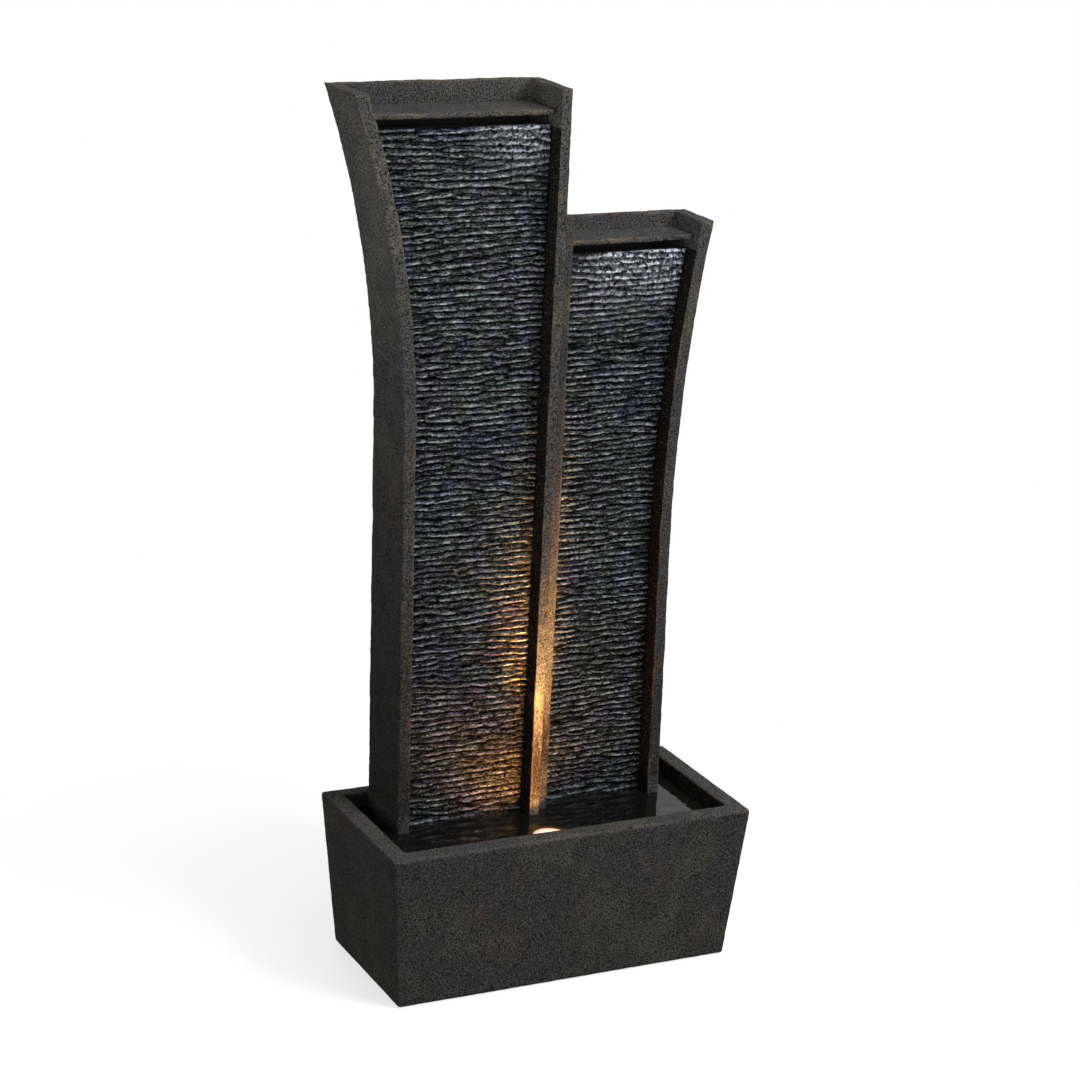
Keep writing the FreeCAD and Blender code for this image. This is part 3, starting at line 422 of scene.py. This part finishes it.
def lattice_noise(random, across, up, cell_across, cell_up):
    """Smooth noise from -1 to 1 at each point, from a seeded lattice of cells."""
    u = (across - across.min()) / cell_across
    v = (up - up.min()) / cell_up
    column, row = np.floor(u).astype(int), np.floor(v).astype(int)
    heights = random.uniform(-1, 1, (column.max() + 2, row.max() + 2))
    s, t = u - column, v - row
    s, t = s * s * (3 - 2 * s), t * t * (3 - 2 * t)
    low = heights[column, row] * (1 - s) + heights[column + 1, row] * s
    high = heights[column, row + 1] * (1 - s) + heights[column + 1, row + 1] * s
    return low * (1 - t) + high * t


def weather(node, wear):
    """Turn a cast piece's crisp CAD edges into worn, slightly uneven ones, never outside the CAD face."""
    weld = node.modifiers.new("weld", "WELD")
    weld.merge_threshold = STONE_WELD
    remesh = node.modifiers.new("cast", "REMESH")
    remesh.mode = "VOXEL"
    remesh.voxel_size = STONE_VOXEL
    remesh.use_smooth_shade = True
    for number, (size, painted_lap_light) in enumerate(STONE_LUMPS):
        texture = bpy.data.textures.new(f"lumps_{number}", "CLOUDS")
        texture.noise_scale = size
        texture.noise_depth = STONE_LUMP_DETAIL
        lumps = node.modifiers.new(f"lumps_{number}", "DISPLACE")
        lumps.texture = texture
        lumps.texture_coords = "LOCAL"
        lumps.mid_level = 1.0
        lumps.strength = wear * painted_lap_light
    lighter = node.modifiers.new("lighter", "DECIMATE")
    lighter.ratio = STONE_SHARE


for name, wear in STONE_WEAR.items():
    weather(frame["nodes"][name], wear)


# Water walls
def ripples(across, up, froth_and_glints, seed):
    """Heights from 0 to 1 of laps that wander, fork and merge, and how near each point is to its lap's lip.

    The laps come from noise kept to a narrow band around one pitch. Each slopes out to a lip with a short
    steep underside.
    """
    random = np.random.default_rng(seed)
    waves = np.fft.fft2(random.normal(size=up.shape))
    rise = np.fft.fftfreq(up.shape[0], RIPPLE_STEP_Z)[:, None]
    run = np.fft.fftfreq(up.shape[1], RIPPLE_STEP_X)[None, :]
    reach_x, reach_z = RIPPLE_REACH
    band = np.exp(-((rise - 1 / RIPPLE_PITCH) * reach_z) ** 2 - (run * reach_x) ** 2)
    field = np.fft.ifft2(waves * band)
    strength = np.clip(np.abs(field) / np.abs(field).mean(), RIPPLE_FAINTEST, 1)
    wander = RIPPLE_WANDER * lattice_noise(random, across, up, *RIPPLE_WANDER_CELL)
    phase = (np.angle(field) / (2 * np.pi) + wander / RIPPLE_PITCH) % 1
    lap = np.minimum((1 - phase) / (1 - RIPPLE_LIP), phase / RIPPLE_LIP)
    lumps = 0.5 + 0.5 * lattice_noise(random, across, up, *RIPPLE_LUMP_CELL)
    patches = 0.5 + 0.5 * lattice_noise(random, across, up, *RIPPLE_PATCH_CELL)
    lap_share, lump_share, patch_share = RIPPLE_SHARES
    ridge = lap_share * lap * strength + lump_share * lumps + patch_share * patches
    height = ridge + FROTH_LEVELLING * froth_and_glints * (lumps - ridge)
    crest = lap * (RIPPLE_EVEN_CREST + (1 - RIPPLE_EVEN_CREST) * strength)
    return height, crest


def slab_faces(rows, columns):
    """Faces of a slab of points: a front grid, then a left and a right rear edge with one point per row."""
    count = rows * columns
    faces = []
    for i in range(rows - 1):
        for j in range(columns - 1):
            a = i * columns + j
            faces.append((a, a + 1, a + columns + 1, a + columns))
        a, b = i * columns, (i + 1) * columns
        c, d = count + i, count + rows + i
        faces += [(a, b, c + 1, c), (b - 1, d, d + 1, b + columns - 1), (c, c + 1, d + 1, d)]
    foot = list(range(columns))
    head = [(rows - 1) * columns + j for j in foot]
    faces.append((*foot[::-1], count, count + rows))
    faces.append((*head, count + 2 * rows - 1, count + rows - 1))
    return faces


def ripple_wall(side):
    """A rippled slab in the CAD panel's space, closed behind by a plain back."""
    node = frame["nodes"][f"{side}_ripple_panel"]
    points = row_points(node)
    low, high = points.min(axis=0), points.max(axis=0)
    rear = points[points[:, 1] > high[1] - TOUCH]
    centre = (low[0] + high[0]) / 2
    curved = rear[rear[:, 0] < centre] if side == "left" else rear[rear[:, 0] > centre]
    curved = curved[np.argsort(curved[:, 2])]
    rows = int((high[2] - low[2]) / RIPPLE_STEP_Z)
    columns = int((high[0] - low[0]) / RIPPLE_STEP_X)
    z = np.linspace(low[2], high[2], rows)
    edge = np.interp(z, curved[:, 2], curved[:, 0])
    straight = np.full(rows, high[0] if side == "left" else low[0])
    first, last = (edge, straight) if side == "left" else (straight, edge)
    share = np.linspace(0, 1, columns)
    across = first[:, None] * (1 - share) + last[:, None] * share
    up = np.repeat(z[:, None], columns, axis=1)
    froth_and_glints_depth, froth_and_glints_start = FROTH_AND_GLINTS[side]
    # Where the water lands and at the water line the laps even out into lumps, and the water walls' material
    # paints pale glints there
    froth_and_glints = np.exp(-((high[2] - up) / froth_and_glints_depth) ** 2) * np.clip((share - froth_and_glints_start) / FROTH_AND_GLINTS_SPAN, 0, 1)
    froth_and_glints += FOOT_FROTH_AND_GLINTS * np.exp(-((up - water_level()) / FOOT_FROTH_AND_GLINTS_HEIGHT) ** 2)
    height, crest = ripples(across, up, froth_and_glints, RIPPLE_SEEDS[side])
    front = low[1] + RIPPLE_DEPTH * (1 - height)
    grid = np.stack([across, front, up], axis=-1).reshape(-1, 3)
    back = np.full(rows, high[1])
    left_rear = np.stack([first, back, z], axis=-1)
    right_rear = np.stack([last, back, z], axis=-1)
    points = np.vstack([grid, left_rear, right_rear])
    wall = mesh_object(f"{side}_water_wall", points, slab_faces(rows, columns), SLOTS["water_wall"])
    wall.data.shade_smooth()
    for label, values in (("crest", crest), ("froth_and_glints", froth_and_glints)):
        layer = wall.data.attributes.new(label, "FLOAT", "POINT")
        layer.data.foreach_set("value", np.concatenate([values.ravel(), np.zeros(2 * rows)]))
    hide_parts(f"{side}_ripple_panel")
    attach(wall, ROOT)


for side in ("left", "right"):
    ripple_wall(side)


# Water in the basin
def tree_of(name):
    """A search tree of a CAD node's faces, in the part's own frame."""
    node = frame["nodes"][name]
    points = [tuple(point) for point in row_points(node)]
    faces = [list(polygon.vertices) for polygon in node.data.polygons]
    return BVHTree.FromPolygons(points, faces)


def inside(tree, point):
    """Whether a point lies in the solid, by counting the faces above it."""
    crossings = 0
    place = Vector(point)
    up = Vector((0, 0, 1))
    while True:
        hit = tree.ray_cast(place, up)[0]
        if hit is None:
            return crossings % 2 == 1
        crossings += 1
        place = hit + up * TOUCH


def pool():
    """The water's surface, stopping in the basin's and towers' walls."""
    level = water_level()
    basin = tree_of("basin")
    start = Vector((*WATER_START, level))
    front = basin.ray_cast(start, Vector((0, -1, 0)))[0].y - WALL_OVERLAP
    left = basin.ray_cast(start, Vector((-1, 0, 0)))[0].x - WALL_OVERLAP
    right = basin.ray_cast(start, Vector((1, 0, 0)))[0].x + WALL_OVERLAP
    rear = basin.ray_cast(start, Vector((0, 1, 0)))[0].y + WALL_OVERLAP
    xs = np.arange(left, right, WATER_STEP)
    ys = np.arange(front, rear, WATER_STEP)
    across, along = np.meshgrid(xs, ys, indexing="ij")
    random = np.random.default_rng(WATER_SEED)
    waves = sum(share * lattice_noise(random, across, along, *cell) for share, cell in WATER_WAVES)
    points = np.stack([across, along, level + WATER_WAVE_HEIGHT * waves], axis=-1)
    standing = ("left_tower", "right_tower", "left_ripple_panel", "right_ripple_panel")
    towers = [tree_of(name) for name in standing]
    buried = np.zeros(across.shape, bool)
    for i in range(len(xs)):
        for j in range(len(ys)):
            buried[i, j] = any(inside(tower, points[i, j]) for tower in towers)
    rows = len(ys)
    faces = []
    for i in range(len(xs) - 1):
        for j in range(len(ys) - 1):
            if not buried[i:i + 2, j:j + 2].all():
                a = i * rows + j
                faces.append((a, a + rows, a + rows + 1, a + 1))
    surface = mesh_object("water", points.reshape(-1, 3), faces, water())
    surface.data.shade_smooth()
    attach(surface, ROOT)


pool()


def lamp_beams():
    """The lamp's uneven light above the water, turning with the lamp: a beam and weaker, wider ones."""
    lens_low, lens_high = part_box("led_lens")
    centre = (Vector(lens_low) + Vector(lens_high)) / 2
    for name, aim, angle, power, colour in BEAMS:
        light = bpy.data.lights.new(name, "SPOT")
        light.color = colour
        light.energy = power
        light.spot_size = angle
        light.spot_blend = 1.0
        light.shadow_soft_size = BEAM_RADIUS
        beam = bpy.data.objects.new(name, light)
        bpy.context.collection.objects.link(beam)
        beam.location = (centre.x, centre.y, water_level() + BEAM_RISE)
        beam.rotation_euler = Vector(aim).to_track_quat("-Z", "Y").to_euler()
        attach(beam, "lamp")


lamp_beams()


# Stage, light and camera
def shown_ray(tree):
    """1 for the rays that show the background: seen, mirrored or seen through glass."""
    rays = add(tree, "ShaderNodeLightPath").outputs
    mirrored = maths(tree, "MAXIMUM", rays["Is Camera Ray"], rays["Is Glossy Ray"])
    return maths(tree, "MAXIMUM", mirrored, rays["Is Transmission Ray"])


def blend_shaders(tree, factor, first, second):
    node = add(tree, "ShaderNodeMixShader")
    for source, socket in zip((factor, first.outputs[0], second.outputs[0]), node.inputs):
        tree.links.new(source, socket)
    return node


def white_world():
    world = bpy.data.worlds.new("studio")
    bpy.context.scene.world = world
    world.use_nodes = True
    tree = world.node_tree
    shown = add(tree, "ShaderNodeBackground", Color=(1, 1, 1, 1), Strength=1.0)
    soft = add(tree, "ShaderNodeBackground", Color=WORLD_COLOUR, Strength=WORLD_LIGHT)
    both = blend_shaders(tree, shown_ray(tree), soft, shown)
    tree.links.new(both.outputs[0], tree.nodes["World Output"].inputs["Surface"])


def white_floor():
    """A pale floor that keeps the shadow near the fountain and fades to white further out."""
    material, tree, shader = new_material("floor")
    shader.inputs["Roughness"].default_value = 0.9
    shown = shown_ray(tree)
    shade = ramp(tree, shown, [(0, FLOOR_BOUNCE), (1, FLOOR_COLOUR)])
    tree.links.new(shade, shader.inputs["Base Color"])
    coordinates = add(tree, "ShaderNodeTexCoord")
    distance = add(tree, "ShaderNodeVectorMath", operation="LENGTH")
    fade = add(tree, "ShaderNodeMapRange", interpolation_type="SMOOTHSTEP")
    fade.inputs["From Min"].default_value = FLOOR_FADE[0]
    fade.inputs["From Max"].default_value = FLOOR_FADE[1]
    fade.inputs["To Min"].default_value = FLOOR_GLOW
    glow = add(tree, "ShaderNodeEmission", Color=(1, 1, 1, 1), Strength=1.0)
    tree.links.new(coordinates.outputs["Object"], distance.inputs[0])
    tree.links.new(distance.outputs["Value"], fade.inputs["Value"])
    far = maths(tree, "MULTIPLY", fade.outputs["Result"], shown)
    both = blend_shaders(tree, far, shader, glow)
    tree.links.new(both.outputs[0], tree.nodes["Material Output"].inputs["Surface"])
    half = FLOOR_HALF
    corners = [(x, y, FLOOR_LEVEL) for x, y in ((-half, -half), (half, -half), (half, half), (-half, half))]
    mesh_object("floor", corners, [(0, 1, 2, 3)], material)


def softboxes():
    for name, place, aim, size, power in SOFTBOXES:
        light = bpy.data.lights.new(name, "AREA")
        light.size = size
        light.energy = power
        light.spread = SPREADS.get(name, math.pi)
        softbox = bpy.data.objects.new(name, light)
        bpy.context.collection.objects.link(softbox)
        softbox.visible_glossy = name not in UNREFLECTED
        softbox.location = place
        softbox.rotation_euler = (Vector(aim) - Vector(place)).to_track_quat("-Z", "Y").to_euler()


def set_camera():
    ahead = Vector((math.sin(CAMERA_AZIMUTH) * math.cos(CAMERA_ELEVATION),
                    math.cos(CAMERA_AZIMUTH) * math.cos(CAMERA_ELEVATION), -math.sin(CAMERA_ELEVATION)))
    level = Vector((math.cos(CAMERA_AZIMUTH), -math.sin(CAMERA_AZIMUTH), 0))
    upright = level.cross(ahead)
    right = math.cos(CAMERA_ROLL) * level + math.sin(CAMERA_ROLL) * upright
    up = -math.sin(CAMERA_ROLL) * level + math.cos(CAMERA_ROLL) * upright
    lens = bpy.data.cameras.new("camera")
    lens.lens = CAMERA_LENS
    lens.sensor_width = CAMERA_SENSOR
    lens.sensor_fit = "HORIZONTAL"
    camera = bpy.data.objects.new("camera", lens)
    bpy.context.collection.objects.link(camera)
    turn = Matrix((right, up, -ahead)).transposed().to_4x4()
    camera.matrix_world = Matrix.Translation(CAMERA_TARGET - CAMERA_DISTANCE * ahead) @ turn
    bpy.context.scene.camera = camera


white_world()
white_floor()
softboxes()
set_camera()
bpy.context.scene.view_settings.view_transform = "Standard"
